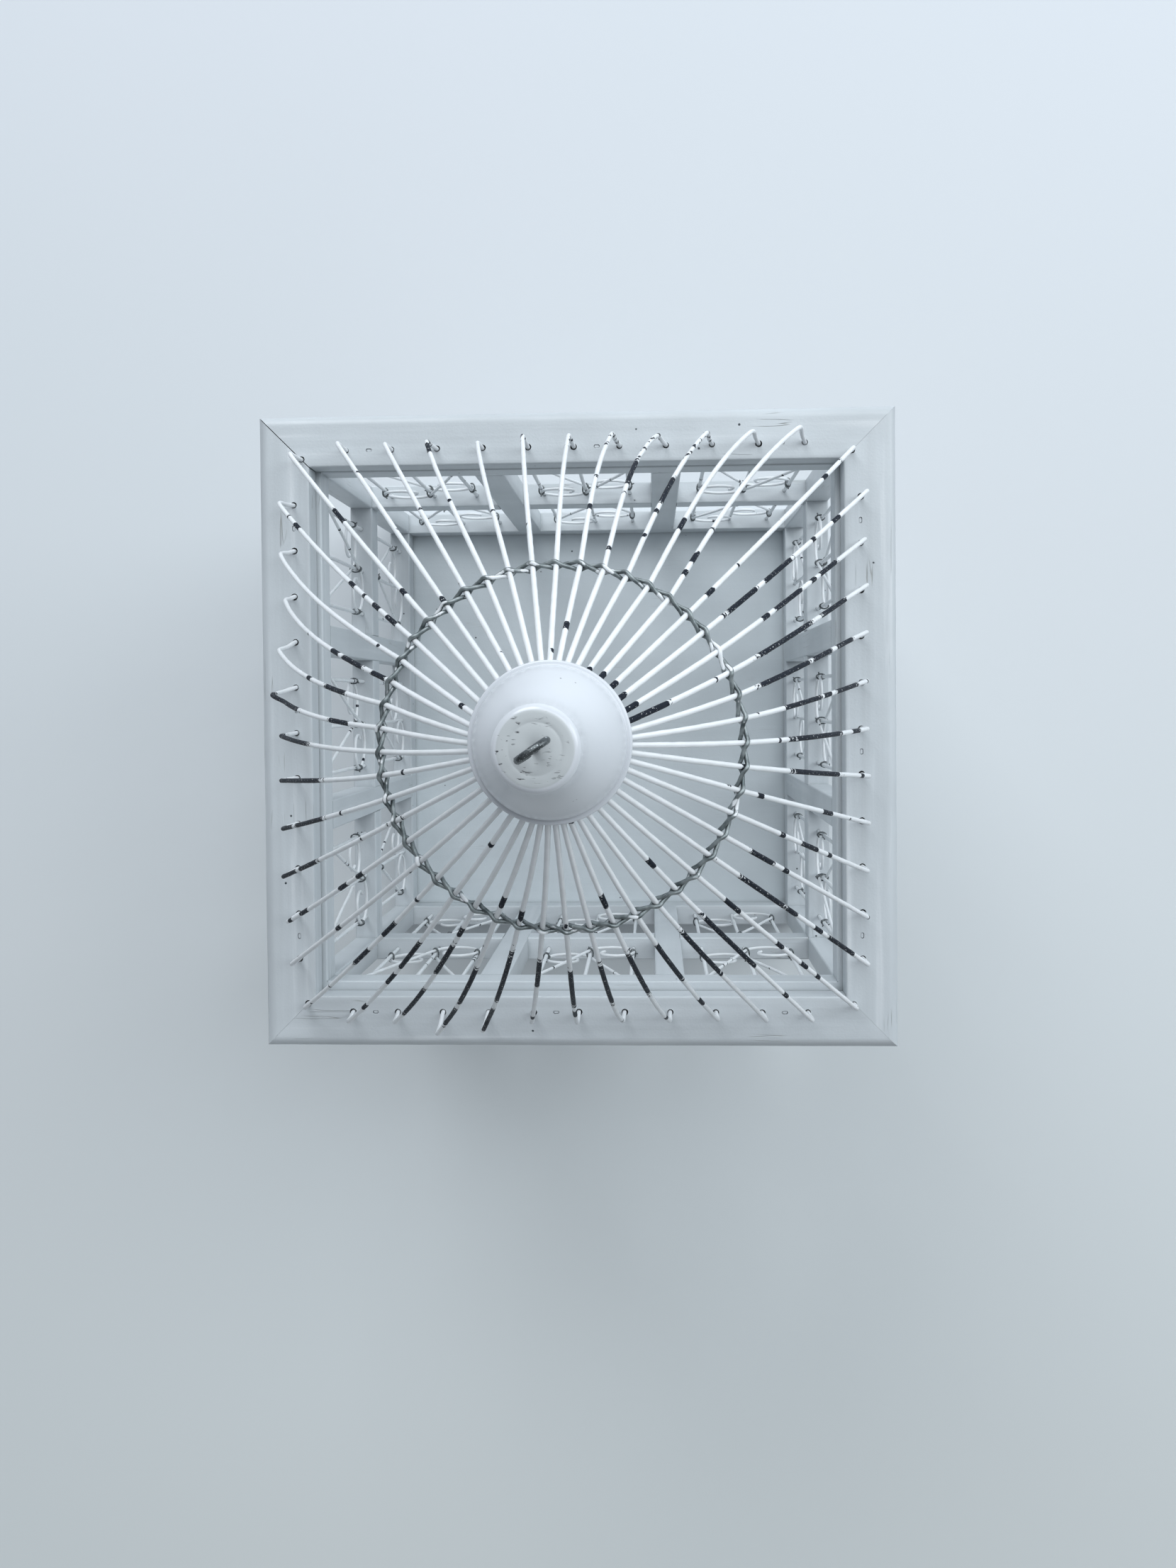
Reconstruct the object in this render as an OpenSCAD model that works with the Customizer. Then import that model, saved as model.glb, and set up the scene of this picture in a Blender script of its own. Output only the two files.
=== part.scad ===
// Square wooden birdcage: framed walls with bent-wire grilles, and a hinged
// roof of straight wires that run from a mitred rim up to a turned finial.
// Millimetres, +Z up, the front wall faces -Y. The origin is the middle of the
// underside of the floor panel.

/* [Cage body] */
// Inside width of the cage, wall to wall
cage_w = 246; // [205:1:320]
// Thickness of every wall stick, and the width of the square corner posts
wall_t = 12.5; // [10:0.5:18]
// Height of the bottom, middle and top rails
rail_h = 14.5; // [11:0.5:20]
// Width of the upright stiles between the bays
stile_w = 14.5; // [10:0.5:20]
// Clear height of each of the two rows of bays
bay_h = 94.5; // [75:0.5:130]
// Thickness of the floor panel
floor_t = 6; // [4:0.5:12]
// Radius on the long edges of the sticks
stick_edge = 0.8; // [0.4:0.1:1.5]

/* [Wall wires] */
// Diameter of the upright wires
rod_d = 2; // [1.6:0.1:2.6]
// How far the upright wires are let into the top and bottom rails
rod_embed = 8; // [5:0.5:9]
// Diameter of the scrolled brace wires
scroll_d = 1.6; // [1.2:0.1:2]
// Outer radius of a scroll
scroll_r = 12.5; // [9:0.5:13]
// Height of a scroll's centre above the rail
scroll_rise = 19; // [15:0.5:30]
// Distance from a bay's corners to the upper row's brace ends
brace_inset = 5.2; // [3:0.1:12]
// Distance from a bay's middle to the lower row's brace ends
lower_brace = 9.5; // [6:0.5:12]
// Diameter of the binding wire at the crossings
tie_d = 0.8; // [0.6:0.1:1]

/* [Roof rim] */
// How far the rim stands out past the walls
overhang = 14.5; // [12:0.5:22]
// How far the rim's opening is set back from the walls' inner faces
ledge = 2.5; // [2:0.5:4]
// How far the roof sits forward of the cage body
roof_forward = 1.9; // [0:0.1:2]
// Thickness of the rim boards
rim_t = 12; // [10:0.5:16]
// Radius of the rim's outer upper edge
rim_round = 5; // [2:0.5:8]
// Gap under the closed roof
lid_gap = 0.4; // [0.3:0.1:1]
// Width of the saw kerf left open in the mitres
mitre_gap = 0.3; // [0.1:0.1:0.6]

/* [Dome] */
// Diameter of the dome wires
wire_d = 2; // [1.6:0.1:2.6]
// Spaces between wires along each side
side_gaps = 12; // [8:1:12]
// Distance from the rim's inner edge to the line of wire holes
hole_inset = 7.5; // [5:0.5:12]
// How far the corner holes are drawn in from the crossing of the hole lines
corner_draw = 4; // [1:0.5:6]
// Depth of the wire holes in the rim
wire_embed = 9; // [6:0.5:9.5]
// Straight upright start of each dome wire above the rim
rise = 18; // [12:0.5:24]
// Radius of the bend at the top of that start
bend_r = 10; // [6:0.5:16]
// Height of the hoop above the rim
hoop_z = 140; // [120:1:150]
// Radius at which the wires pass the hoop
hoop_r = 65.1; // [60:0.1:72]
// Diameter of the two strands of the hoop
strand_d = 1.6; // [1.4:0.1:2.4]
// Height of the finial's underside above the rim
dome_h = 187; // [165:1:230]
// How far the finial sits to the right of the middle
dome_lean = 3; // [0:0.5:4]
// How far the hoop hangs forward of the finial
hoop_forward = 3.4; // [0:0.1:4]

/* [Finial] */
// Diameter of the finial at its foot
cap_d = 52.6; // [50:0.2:64]
// Height of the finial
cap_h = 53; // [40:0.5:70]
// Diameter of the flat top
knob_d = 20; // [16:0.5:24]
// Distance from the finial's edge to where the wires enter its underside
wire_inset = 3; // [2.6:0.1:4]
// Depth of the wire holes in the finial
cap_embed = 4; // [2:0.5:6]

/* [Screw eye] */
// Outside diameter of the eye
eye_od = 11.8; // [11:0.1:16]
// Diameter of the eye's wire
eye_wire = 1.8; // [1.5:0.1:2.2]
// Height of the neck under the eye
eye_neck = 2.6; // [1:0.1:6]
// Depth of the screw in the finial
eye_depth = 14; // [8:1:20]
// Turn of the eye about the upright axis
eye_turn = 33; // [0:1:90]

/* [Hinges] */
// Length of each hinge
hinge_l = 25; // [16:1:40]
// Distance of each hinge from the middle
hinge_x = 70; // [40:1:95]
// Outside diameter of the knuckles
knuckle_d = 3.4; // [3:0.1:4.4]
// Diameter of the hinge pins
pin_d = 1.4; // [1.2:0.1:1.8]
// Thickness of the leaves
leaf_t = 1; // [0.8:0.1:1.4]
// Width of the leaves, from the pin
leaf_w = 10; // [8:0.5:11]
// Diameter of the screw heads
screw_head = 3.6; // [3:0.1:4.4]
// Diameter of the screw shanks
screw_d = 1.8; // [1.4:0.1:2.2]
// Length of the screws in the wood
screw_l = 4.6; // [3:0.1:4.6]

/* [Hidden] */
$fn = 48;
SIDES = ["front", "right", "back", "left"];
NODES = [
    "floor_panel",
    for (s = ["front_left", "front_right", "back_right", "back_left"]) str("corner_post_", s),
    for (s = SIDES) str("bottom_rail_", s),
    for (s = SIDES) str("middle_rail_", s),
    for (s = SIDES) str("top_rail_", s),
    for (s = SIDES, e = ["a", "b"]) str("stile_", s, "_", e),
    for (s = SIDES) str("upright_wires_", s),
    for (s = SIDES) str("scroll_wires_", s),
    "binding_wires",
    for (s = SIDES) str("rim_board_", s),
    for (s = SIDES) str("dome_wires_", s),
    "rim_nails",
    "hoop_outer_strand", "hoop_inner_strand",
    "finial", "screw_eye",
    "hinge_cage_leaf_left", "hinge_cage_leaf_right",
    "hinge_roof_leaf_left", "hinge_roof_leaf_right",
    "hinge_pins", "hinge_cage_screws", "hinge_roof_screws"
];
node = "all";

// Clearances
hole_fit = 0.05;   // around a wire in its hole
touch_gap = 0.15;  // between wires that lie against each other
hoop_gap = 0.5;    // between the dome wires and the hoop strands
pin_fit = 0.05;    // around the hinge pins
knuckle_gap = 0.4; // between neighbouring knuckles
swing_gap = 0.3;   // between a knuckle and the part it turns past

// Joints between the straight and curved pieces of one wire
join = 0.1;
bead_scale = 1.05;

// Heights and places of the cage body, whose middle is at body_at
body_at = [0, roof_forward];
bottom_rail_z = floor_t;
lower_bay_z = bottom_rail_z + rail_h;
middle_rail_z = lower_bay_z + bay_h;
upper_bay_z = middle_rail_z + rail_h;
top_rail_z = upper_bay_z + bay_h;
body_top = top_rail_z + rail_h;
body_w = cage_w + 2*wall_t;
wall_mid = cage_w/2 + wall_t/2;
bay_w = (cage_w - 2*stile_w)/3;
bay_pitch = bay_w + stile_w;
rod_gap = bay_w/3;
BAYS = [-1, 0, 1];

// Rim
rim_z = body_top + lid_gap;
rim_top = rim_z + rim_t;
rim_out = cage_w/2 + wall_t + overhang;
rim_in = cage_w/2 + ledge;
hole_line = rim_in + hole_inset;
corner_hole = hole_line - corner_draw;
hole_step = 2*corner_hole/side_gaps;
wire_r = wire_d/2;
nail_w = 1.1;      // across an oblong nail head
nail_l = 2.2;      // along it
nail_depth = rim_t - 1.5;
nail_sunk = 0.3;   // depth of the nail heads below the rim's top
NAIL_GAPS = [1, floor(side_gaps/2) - 1, side_gaps - 2];

// Wall wires
rod_r = rod_d/2;
brace_r = scroll_d/2;
brace_off = rod_r + brace_r + touch_gap;
brace_embed = 3;
curl_r = scroll_r*0.8;
tip_r = scroll_r*0.48;
scroll_x = rod_gap - scroll_r;

// Dome
cap_r = cap_d/2;
cap_z = rim_top + dome_h;
cap_back = 1;
wire_end_r = cap_r - wire_inset;
hoop_off = wire_r + strand_d/2 + hoop_gap;
hoop_lean = 42;    // lean of the wires where they pass the hoop
straight = 0.4;    // least bow of a dome wire, as good as straight
cap_top = cap_z + cap_h;

// Finial outline
cap_edge_h = 3.4;
cap_step = 1.6;
knob_r = knob_d/2;
knob_skirt_r = knob_r + 2.8;
knob_h = cap_h*0.11;
waist_r = knob_skirt_r - 0.7;

// Hinges
pin_r = pin_d/2;
knuckle_r = knuckle_d/2;
hinge_y = body_at[1] + body_w/2 + knuckle_r + swing_gap;
hinge_z = rim_z - knuckle_r - swing_gap;
knuckle_l = (hinge_l - 2*knuckle_gap)/3;
leaf_screw = leaf_w*0.62;
screw_gap = hinge_l*0.27;
head_h = (screw_head - screw_d)/2;

paint = "whitesmoke";
steel = "silver";

// A stick of length l along X, with its long edges rounded: y by z across.
module stick(l, y, z) {
    r = stick_edge;
    translate([-l/2, 0, 0]) rotate([90, 0, 90]) linear_extrude(l) {
        translate([-y/2 + r, -z/2]) square([y - 2*r, z]);
        translate([-y/2, -z/2 + r]) square([y, z - 2*r]);
        for (i = [-1, 1], j = [-1, 1]) translate([i*(y/2 - r), j*(z/2 - r)]) circle(r);
    }
}

// Turns a front wall piece to side k, counted round from the front.
module on_side(k) translate(body_at) rotate([0, 0, 90*k]) translate([0, -wall_mid, 0]) children();

// A round bar from p to q.
module bar(p, q, r) {
    d = q - p;
    h = norm([d.x, d.y]);
    translate(p) rotate([0, atan2(h, d.z), atan2(d.y, d.x)]) cylinder(r = r, h = norm(d));
}

// An arc of round wire in the XZ plane about c, from angle a through a turn.
// Both ends stop short by join, and a bead closes each joint to the next piece.
module arc_wire(c, radius, a, turn, r) {
    trim = join/radius*180/PI;
    translate([c[0], 0, c[1]]) rotate([90, 0, 0]) rotate([0, 0, min(a, a + turn) + trim])
        rotate_extrude(angle = abs(turn) - 2*trim) translate([radius, 0]) circle(r);
}

// The joint between two pieces of one wire, at p in the XZ plane.
module bead(p, r) translate([p[0], 0, p[1]]) sphere(r*bead_scale);

// ---- Wall frames ----

module floor_panel() {
    color(paint) translate(body_at - [1, 1]*body_w/2) cube([body_w, body_w, floor_t]);
}

module corner_post(i, j) {
    h = body_top - floor_t;
    color(paint) translate(body_at) translate([i*wall_mid, j*wall_mid, floor_t + h/2])
        rotate([0, 90, 0]) stick(h, wall_t, wall_t);
}

module rod_holes(z, depth, up) {
    for (b = BAYS, i = [-1, 0, 1])
        translate([b*bay_pitch + i*rod_gap, 0, up ? z : z - depth])
            cylinder(r = rod_r + hole_fit, h = depth);
}

module bottom_rail(k) {
    color(paint) on_side(k) difference() {
        translate([0, 0, bottom_rail_z + rail_h/2]) stick(cage_w, wall_t, rail_h);
        rod_holes(lower_bay_z, rod_embed, false);
    }
}

module middle_rail(k) {
    color(paint) on_side(k) difference() {
        translate([0, 0, middle_rail_z + rail_h/2]) stick(cage_w, wall_t, rail_h);
        rod_holes(middle_rail_z, rail_h, true);
        for (i = [-1, 1]) translate([i*bay_pitch/2 - stile_w/2, 0, middle_rail_z])
            cube([stile_w, wall_t/2, rail_h]);
        brace_ends(false, hole_fit);
    }
}

module top_rail(k) {
    color(paint) on_side(k) difference() {
        translate([0, 0, top_rail_z + rail_h/2]) stick(cage_w, wall_t, rail_h);
        rod_holes(top_rail_z, rod_embed, true);
        brace_ends(true, hole_fit);
        if (SIDES[k] == "back") translate([0, wall_mid, 0]) rotate([0, 0, 180]) translate(-body_at)
            for (i = [-1, 1]) cage_screws(i, hole_fit);
    }
}

// Upright between two bays, halved on its outer side over the middle rail.
module stile(k, i) {
    h = top_rail_z - lower_bay_z;
    color(paint) on_side(k) translate([i*bay_pitch/2, 0, 0]) difference() {
        translate([0, 0, lower_bay_z + h/2]) rotate([0, 90, 0]) stick(h, wall_t, stile_w);
        translate([-stile_w/2, -wall_t/2, middle_rail_z]) cube([stile_w, wall_t/2, rail_h]);
    }
}

// ---- Wall wires ----

module upright_wires(k) {
    z = lower_bay_z - rod_embed;
    color(paint) on_side(k) for (b = BAYS, i = [-1, 0, 1])
        translate([b*bay_pitch + i*rod_gap, 0, z])
            cylinder(r = rod_r, h = top_rail_z + rod_embed - z);
}

// Where the straight part of a brace wire runs on into its scroll. The upper
// row's wires turn outwards at the foot, the lower row's turn inwards.
function brace_start(upper) = [upper ? bay_w/2 - brace_inset : lower_brace, bay_h + brace_embed];
function brace_to_centre(upper) = brace_start(upper) - [-scroll_x, scroll_rise];
function brace_angle(upper) = let (d = brace_to_centre(upper))
    atan2(d[1], d[0]) + (upper ? -1 : 1)*acos(scroll_r/norm(d));
function on_scroll(a) = [-scroll_x, scroll_rise] + scroll_r*[cos(a), sin(a)];
function brace_slope(upper) = let (d = brace_start(upper) - on_scroll(brace_angle(upper))) d/norm(d);
// Height at which the two brace wires of a bay cross its middle wire.
function cross_z(upper) = let (s = brace_start(upper), d = brace_slope(upper)) s[1] - s[0]*d[1]/d[0];

// One brace wire: a straight run from the rail above, then a shrinking curl.
module brace(upper) {
    s = brace_start(upper);
    a0 = brace_angle(upper);
    t = on_scroll(a0);
    way = upper ? -1 : 1;
    a1 = upper ? -180 : 300;
    a2 = a1 + way*120;
    c1 = [-scroll_x, scroll_rise];
    c2 = c1 + (scroll_r - curl_r)*[cos(a1), sin(a1)];
    c3 = c2 + (curl_r - tip_r)*[cos(a2), sin(a2)];
    foot = t + join*brace_slope(upper);
    bar([foot[0], 0, foot[1]], [s[0], 0, s[1]], brace_r);
    arc_wire(c1, scroll_r, a0, a1 - a0, brace_r);
    arc_wire(c2, curl_r, a1, a2 - a1, brace_r);
    arc_wire(c3, tip_r, a2, way*110, brace_r);
    bead(t, brace_r);
    bead(on_scroll(a1), brace_r);
    bead(c2 + curl_r*[cos(a2), sin(a2)], brace_r);
}

// Places a bay's two brace wires, the second one mirrored and behind the rods.
module in_bay(b, upper, i) {
    translate([b*bay_pitch, -i*brace_off, upper ? upper_bay_z : lower_bay_z])
        mirror([i < 0 ? 1 : 0, 0, 0]) children();
}

module scroll_wires(k) {
    color(paint) on_side(k) for (b = BAYS, upper = [true, false], i = [-1, 1])
        in_bay(b, upper, i) brace(upper);
}

// The let-in ends of the brace wires, for their holes.
module brace_ends(upper, fit) {
    s = brace_start(upper);
    d = brace_slope(upper)*(brace_embed + 3);
    for (b = BAYS, i = [-1, 1]) in_bay(b, upper, i)
        bar([s[0] - d[0], 0, s[1] - d[1]], [s[0], 0, s[1]], brace_r + fit);
}

// A closed turn of binding wire round an upright bundle.
module tie(x, y, z, radius) {
    translate([x, y, z]) rotate_extrude() translate([radius, 0]) circle(tie_d/2, $fn = 24);
}

// Radius that holds a rod with a brace wire on each side of it.
cross_tie = brace_off + brace_r + tie_d/2 + touch_gap + 0.5;
// Radius and offset that hold a rod with one brace wire.
side_tie = (brace_off + rod_r + brace_r)/2 + tie_d/2 + touch_gap;
side_shift = (brace_off + brace_r - rod_r)/2;

module binding_wires() {
    color(steel) for (k = [0:3]) on_side(k) for (b = BAYS) {
        for (upper = [true, false]) {
            z = upper ? upper_bay_z : lower_bay_z;
            tie(b*bay_pitch, 0, z + cross_z(upper), cross_tie);
            for (i = [-1, 1])
                tie(b*bay_pitch - i*rod_gap, -i*side_shift, z + scroll_rise, side_tie);
        }
    }
}

// ---- Roof ----

// Middle of the wire hole n, counted round from the front left corner.
function on_rim(k, u) = let (a = 90*k) [u*cos(a) + hole_line*sin(a), u*sin(a) - hole_line*cos(a)];
function hole_at(n) = let (k = floor(n/side_gaps), m = n % side_gaps)
    m == 0 ? corner_hole*[k == 0 || k == 3 ? -1 : 1, k < 2 ? -1 : 1]
           : on_rim(k, -corner_hole + m*hole_step);

module wire_hole(n) {
    p = hole_at(n);
    translate([p[0], p[1], rim_top - wire_embed]) cylinder(r = wire_r + hole_fit, h = wire_embed + 1);
}

// Outline of a rim board across its length: outer upper edge rounded.
module rim_outline() {
    r = rim_round;
    e = stick_edge;
    w = rim_out - rim_in;
    square([w - r, rim_t - e]);
    translate([e, 0]) square([w - r - e, rim_t]);
    square([w, rim_t - r]);
    translate([w - r, rim_t - r]) circle(r);
    translate([e, rim_t - e]) circle(e);
}

module rim_board(k) {
    c = rim_out + 1;
    color(paint) difference() {
        rotate([0, 0, 90*k]) intersection() {
            translate([-rim_out, -rim_in, rim_z]) rotate([90, 0, 90])
                linear_extrude(2*rim_out) mirror([1, 0]) rim_outline();
            translate([0, 0, rim_z - 1]) linear_extrude(rim_t + 2)
                polygon([[0, -mitre_gap], [-c, -c - mitre_gap], [c, -c - mitre_gap]]);
        }
        for (n = [k*side_gaps : (k + 1)*side_gaps]) wire_hole(n % (4*side_gaps));
        for (m = NAIL_GAPS) rim_nail(k, m, hole_fit, 1);
        if (SIDES[k] == "back") for (i = [-1, 1]) roof_screws(i, hole_fit);
    }
}

// Nail with an oblong head, midway between dome wires m and m + 1 of board k.
// Fit is added all round, and the head stands proud of the rim's top by proud.
module rim_nail(k, m, fit, proud) {
    p = on_rim(k, (m + 0.5)*hole_step - corner_hole);
    w = nail_w + 2*fit;
    translate([p[0], p[1], rim_top - nail_depth]) rotate([0, 0, 90*k])
        linear_extrude(nail_depth + proud) {
            square([nail_l - nail_w, w], center = true);
            for (i = [-1, 1]) translate([i*(nail_l - nail_w)/2, 0]) circle(w/2, $fn = 24);
        }
}

module rim_nails() {
    color("dimgray") for (k = [0:3], m = NAIL_GAPS) rim_nail(k, m, 0, -nail_sunk);
}

// Each dome wire lies in an upright plane. In that plane it rises straight,
// bends inwards by lean, and runs on as one shallow arc that turns by twice
// bow, so that it passes the hoop at hoop_r and ends in the finial. A wire
// from near a corner may bow the other way, or be as good as straight.
function lean_for(l, bow, a = 25, n = 16) = n == 0 ? a
    : lean_for(l, bow, atan2(l - bend_r*(1 - cos(a)), dome_h - rise - bend_r*sin(a)) - bow, n - 1);
function bend_end(a) = [bend_r*(1 - cos(a)), rise + bend_r*sin(a)];
function run_r(l, bow, a) = norm([l, dome_h] - bend_end(a))/(2*sin(bow));
function reach(l, bow, z) = let (a = lean_for(l, bow), e = bend_end(a), r = run_r(l, bow, a),
    t = asin(sin(a) + (z - e[1])/r)) e[0] + r*(cos(a) - cos(t));
function bow_for(l, s, lo = -9, hi = 24, n = 24) = let (m = (lo + hi)/2)
    n == 0 ? (m < 0 ? min(m, -straight) : max(m, straight))
    : reach(l, m, hoop_z) > s ? bow_for(l, s, m, hi, n - 1) : bow_for(l, s, lo, m, n - 1);

cap_at = [dome_lean, cap_back];
hoop_at = cap_at - [0, hoop_forward];
function wire_end(n) = let (a = -135 + n*90/side_gaps) cap_at + wire_end_r*[cos(a), sin(a)];
function wire_way(n) = let (d = wire_end(n) - hole_at(n)) d/norm(d);
function hoop_reach(n) = let (f = hole_at(n) - hoop_at, u = wire_way(n), b = f*u)
    -b - sqrt(b*b - f*f + hoop_r*hoop_r);

module dome_wire(n) {
    r = wire_r;
    p = hole_at(n);
    u = wire_way(n);
    l = norm(wire_end(n) - p);
    bow = bow_for(l, hoop_reach(n));
    a = lean_for(l, bow);
    e = bend_end(a);
    run = run_r(l, bow, a);
    turn = 2*bow + cap_embed/run*180/PI;
    translate([p[0], p[1], rim_top]) rotate([0, 0, atan2(u[1], u[0])]) {
        translate([0, 0, -wire_embed]) cylinder(r = r, h = wire_embed + rise - join);
        arc_wire([bend_r, rise], bend_r, 180, -a, r);
        arc_wire(e + run*[cos(a), -sin(a)], abs(run), bow > 0 ? 180 - a : -a, -turn, r);
        bead([0, rise], r);
        bead(e, r);
    }
}

module dome_wires(k) {
    color(paint) for (m = [0 : side_gaps - 1]) dome_wire(k*side_gaps + m);
}

// Hoop strand on the outer (side = 1) or inner (side = -1) face of the wires.
module hoop_strand(side) {
    color(steel) translate([hoop_at[0], hoop_at[1], rim_top + hoop_z + side*hoop_off*sin(hoop_lean)])
        rotate_extrude($fn = 96) translate([hoop_r + side*hoop_off*cos(hoop_lean), 0]) circle(strand_d/2);
}

// Bell of the finial: radius at height z above the edge band, an S-shaped sweep.
bell_low = cap_edge_h;
bell_high = cap_h - knob_h;
function bell_r(t) = let (s = (1 - cos(180*pow(t, 0.82)))/2) (cap_r - cap_step)*(1 - s) + waist_r*s;

module finial() {
    steps = 20;
    color(paint) translate([cap_at[0], cap_at[1], cap_z]) difference() {
        rotate_extrude($fn = 96) {
            square([cap_r - 0.8, cap_edge_h]);
            translate([0, 0.8]) square([cap_r, cap_edge_h - 1.6]);
            for (z = [0.8, cap_edge_h - 0.8]) translate([cap_r - 0.8, z]) circle(0.8);
            polygon([[0, bell_low - 0.5], [cap_r - cap_step, bell_low - 0.5],
                for (i = [0:steps]) [bell_r(i/steps), bell_low + (bell_high - bell_low)*i/steps],
                [0, bell_high]]);
            translate([0, bell_high]) knob_outline();
        }
        translate([0, 0, cap_h - eye_depth]) cylinder(r = eye_wire/2 + hole_fit, h = eye_depth + 1);
        translate([-cap_at[0], -cap_at[1], -dome_h]) for (n = [0 : 4*side_gaps - 1]) tip_hole(n);
    }
}

// Half outline of the knob: a skirt that rounds over into the flat top.
module knob_outline() {
    r = knob_skirt_r - knob_r;
    square([knob_r, knob_h]);
    square([knob_skirt_r, knob_h - r]);
    translate([knob_r, knob_h - r]) circle(r);
}

// Hole in the finial for the end of dome wire n.
module tip_hole(n) {
    p = hole_at(n);
    u = wire_way(n);
    l = norm(wire_end(n) - p);
    bow = bow_for(l, hoop_reach(n));
    end_a = lean_for(l, bow) + 2*bow;
    way = [sin(end_a), 0, cos(end_a)];
    translate([p[0], p[1], 0]) rotate([0, 0, atan2(u[1], u[0])])
        bar([l, 0, dome_h] - 3*way, [l, 0, dome_h] + (cap_embed + hole_fit)*way, wire_r + hole_fit);
}

module screw_eye() {
    r = eye_wire/2;
    ring = eye_od/2 - r;
    open = 28; // angle of the gap beside the neck
    color(steel) translate([cap_at[0], cap_at[1], cap_top]) rotate([0, 0, eye_turn]) {
        translate([0, 0, -eye_depth]) cylinder(r = r, h = eye_depth + eye_neck + r);
        arc_wire([0, eye_neck + eye_od/2], ring, -90, 360 - open, r);
    }
}

// ---- Hinges ----

// Hinge parts are drawn about the pin axis, for the hinge on side i.
module at_hinge(i) translate([i*hinge_x, hinge_y, hinge_z]) children();

// Round knuckles along the pin, at the middle third or at both ends.
module knuckles(mid) {
    for (j = mid ? [0] : [-1, 1])
        translate([j*(knuckle_l + knuckle_gap) - knuckle_l/2, 0, 0]) rotate([0, 90, 0])
            cylinder(r = knuckle_r, h = knuckle_l);
}

module pin_bore() {
    translate([-hinge_l/2 - 1, 0, 0]) rotate([0, 90, 0]) cylinder(r = pin_r + pin_fit, h = hinge_l + 2);
}

// Countersunk holes, or screws, along Z with their heads at the leaf's face z = 0.
module screws(fit, depth) {
    for (j = [-1, 1]) translate([j*screw_gap, leaf_screw, 0]) {
        translate([0, 0, -head_h]) cylinder(r1 = screw_d/2 + fit, r2 = screw_head/2 + fit, h = head_h);
        translate([0, 0, -depth]) cylinder(r = screw_d/2 + fit, h = depth - head_h);
    }
}

// One leaf lying in the XY plane with its screw face at z = 0 and the pin at y = 0.
module leaf_plate(mid) {
    clear = knuckle_r + swing_gap;
    difference() {
        translate([-hinge_l/2, 0, -leaf_t]) cube([hinge_l, leaf_w, leaf_t]);
        for (j = mid ? [-1, 1] : [0])
            translate([j*(knuckle_l + knuckle_gap) - knuckle_l/2 - knuckle_gap, -1, -leaf_t - 1])
                cube([knuckle_l + 2*knuckle_gap, clear + 1, leaf_t + 2]);
        screws(hole_fit, leaf_t + 1);
    }
}

// The cage leaf hangs down the outside of the back wall.
module on_wall() translate([0, leaf_t - knuckle_r - swing_gap, 0]) rotate([-90, 0, 0]) children();
// The roof leaf lies under the rim, screw face down.
module under_rim() translate([0, 0, knuckle_r + swing_gap - leaf_t]) mirror([0, 0, 1]) children();

module hinge_leaf(i, roof) {
    color("goldenrod") at_hinge(i) difference() {
        union() {
            if (roof) under_rim() leaf_plate(true);
            else on_wall() leaf_plate(false);
            knuckles(roof);
        }
        pin_bore();
    }
}

module hinge_pins() {
    color(steel) for (i = [-1, 1]) at_hinge(i)
        translate([-hinge_l/2, 0, 0]) rotate([0, 90, 0]) cylinder(r = pin_r, h = hinge_l);
}

module cage_screws(i, fit) at_hinge(i) on_wall() screws(fit, leaf_t + screw_l + fit);
module roof_screws(i, fit) at_hinge(i) under_rim() screws(fit, leaf_t + screw_l + fit);

module hinge_cage_screws() color("goldenrod") for (i = [-1, 1]) cage_screws(i, 0);
module hinge_roof_screws() color("goldenrod") for (i = [-1, 1]) roof_screws(i, 0);

// ---- Nodes ----

function on(name) = node == "all" || node == name;

if (on("floor_panel")) floor_panel();
if (on("corner_post_front_left")) corner_post(-1, -1);
if (on("corner_post_front_right")) corner_post(1, -1);
if (on("corner_post_back_right")) corner_post(1, 1);
if (on("corner_post_back_left")) corner_post(-1, 1);
for (k = [0:3]) {
    if (on(str("bottom_rail_", SIDES[k]))) bottom_rail(k);
    if (on(str("middle_rail_", SIDES[k]))) middle_rail(k);
    if (on(str("top_rail_", SIDES[k]))) top_rail(k);
    if (on(str("stile_", SIDES[k], "_a"))) stile(k, -1);
    if (on(str("stile_", SIDES[k], "_b"))) stile(k, 1);
    if (on(str("upright_wires_", SIDES[k]))) upright_wires(k);
    if (on(str("scroll_wires_", SIDES[k]))) scroll_wires(k);
    if (on(str("rim_board_", SIDES[k]))) rim_board(k);
    if (on(str("dome_wires_", SIDES[k]))) dome_wires(k);
}
if (on("binding_wires")) binding_wires();
if (on("rim_nails")) rim_nails();
if (on("hoop_outer_strand")) hoop_strand(1);
if (on("hoop_inner_strand")) hoop_strand(-1);
if (on("finial")) finial();
if (on("screw_eye")) screw_eye();
if (on("hinge_cage_leaf_left")) hinge_leaf(-1, false);
if (on("hinge_cage_leaf_right")) hinge_leaf(1, false);
if (on("hinge_roof_leaf_left")) hinge_leaf(-1, true);
if (on("hinge_roof_leaf_right")) hinge_leaf(1, true);
if (on("hinge_pins")) hinge_pins();
if (on("hinge_cage_screws")) hinge_cage_screws();
if (on("hinge_roof_screws")) hinge_roof_screws();
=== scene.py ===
"""Looks of the wooden birdcage: painted sticks, scrolled grilles, chipped dome wires, a twined
wire hoop and a turned finial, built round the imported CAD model. Metres, +Z up, front at -Y."""

from math import acos, asin, atan2, cos, degrees, pi, radians, sin, sqrt
import random

import bpy
from mathutils import Euler, Matrix, Vector, noise


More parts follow.
